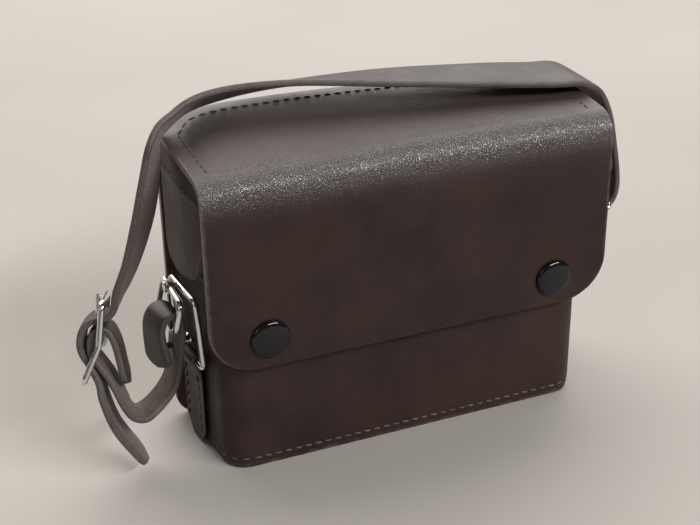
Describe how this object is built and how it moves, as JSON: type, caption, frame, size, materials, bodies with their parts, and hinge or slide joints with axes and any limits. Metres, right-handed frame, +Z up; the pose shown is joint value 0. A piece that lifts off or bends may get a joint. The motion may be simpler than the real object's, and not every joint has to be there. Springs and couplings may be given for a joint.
{
  "type": "light meter in leather case",
  "caption": "Selenium light meter in a flat leather ever-ready case with a snap-closed front flap, side rings and a buckled carrying strap over the lid.",
  "frame": {"origin": "centre of the case's bottom face", "axes": "+Z up, -Y the front with the closing flap, +X the right side"},
  "size_m": [0.1872, 0.0466, 0.1171],
  "materials": {
    "case_leather": "smooth dark brown leather, semi-matt",
    "lid_leather": "smooth dark brown leather with worn folds",
    "strap_leather": "dark brown strap leather, rough inside",
    "thread": "grey-brown waxed thread",
    "lining": "short velvet pile",
    "chrome_wire": "polished nickel plate",
    "snap_cap": "glossy black enamel",
    "snap_metal": "nickelled brass",
    "meter_housing": "fine textured black moulding",
    "meter_trim": "satin metal",
    "glass": "clear",
    "dial_paper": "matt cream dial",
    "opal_plastic": "opal lens",
    "needle_paint": "black lacquer",
    "coil_copper": "enamelled copper",
    "magnet_iron": "ground iron",
    "bridge_brass": "brushed brass",
    "selenium": "dark grey selenium film",
    "board": "brown laminate",
    "resistor_paint": "lacquered body"
  },
  "bodies": {
    "case": {"back_panel": "case_leather", "back_seam_stitching": "thread", "base_stitching": "thread", "base_tray": "case_leather", "case_ring_left": "chrome_wire", "case_ring_right": "chrome_wire", "cell_bezel": "meter_trim", "cell_contact_ring": "bridge_brass", "cell_diffuser": "opal_plastic", "cell_holder": "board", "dial_plate": "dial_paper", "floor_pad": "lining", "front_bridge": "bridge_brass", "front_side_wrap": "case_leather", "hairsprings": "coil_copper", "housing_screws": "meter_trim", "lead_wires": "coil_copper", "magnet_ring": "magnet_iron", "meter_back_shell": "meter_housing", "meter_front_shell": "meter_housing", "pocket_lining": "lining", "pole_core": "magnet_iron", "rear_bridge": "bridge_brass", "resistor_board": "board", "resistors": "resistor_paint", "selenium_cell": "selenium", "side_tab_left": "case_leather", "side_tab_right": "case_leather", "side_tab_stitching": "thread", "snap_posts": "snap_metal", "snap_studs": "snap_metal", "switch_wafer": "board", "window_bezel": "meter_trim", "window_glass": "glass"},
    "lid": {"lid_top": "lid_leather", "lid_ear_left": "lid_leather", "lid_ear_right": "lid_leather", "lid_lip_left": "lid_leather", "lid_lip_right": "lid_leather", "lid_stitching": "thread"},
    "flap": {"front_flap": "lid_leather", "snap_caps": "snap_cap", "snap_sockets": "snap_metal"},
    "strap": {"long_strap": "strap_leather", "short_strap": "strap_leather", "link_ring_left": "chrome_wire", "link_ring_right": "chrome_wire", "buckle_frame": "chrome_wire", "buckle_prong": "chrome_wire", "strap_rivets": "chrome_wire"},
    "movement": {"needle": "needle_paint", "moving_coil": "coil_copper"},
    "zero_screw": {"zero_adjuster": "meter_trim"},
    "range_switch": {"range_slider": "meter_housing"}
  },
  "joints": [
    {"name": "lid_hinge", "type": "hinge", "parent": "case", "child": "lid", "pos_m": [0, 0.01925, 0.09875], "axis": [-1, 0, 0], "range_deg": [0, 95]},
    {"name": "flap_fold", "type": "hinge", "parent": "lid", "child": "flap", "pos_m": [0, -0.02106, 0.09816], "axis": [-1, 0, 0], "range_deg": [0, 95]},
    {"name": "strap_swing", "type": "hinge", "parent": "case", "child": "strap", "pos_m": [0, 0.006, 0.056], "axis": [-1, 0, 0], "range_deg": [0, 115]},
    {"name": "needle_swing", "type": "hinge", "parent": "case", "child": "movement", "pos_m": [0.0175, 0, 0.065], "axis": [0, 1, 0], "range_deg": [0, 84]},
    {"name": "zero_turn", "type": "hinge", "parent": "case", "child": "zero_screw", "pos_m": [0.0175, -0.0122, 0.0583], "axis": [0, 1, 0], "range_deg": [-30, 30]},
    {"name": "range_slide", "type": "slide", "parent": "case", "child": "range_switch", "axis": [1, 0, 0], "range_m": [0, 0.008]}
  ],
  "couplings": [
    {"joint": "strap_swing", "follows": "lid_hinge", "ratio": 1.2}
  ]
}
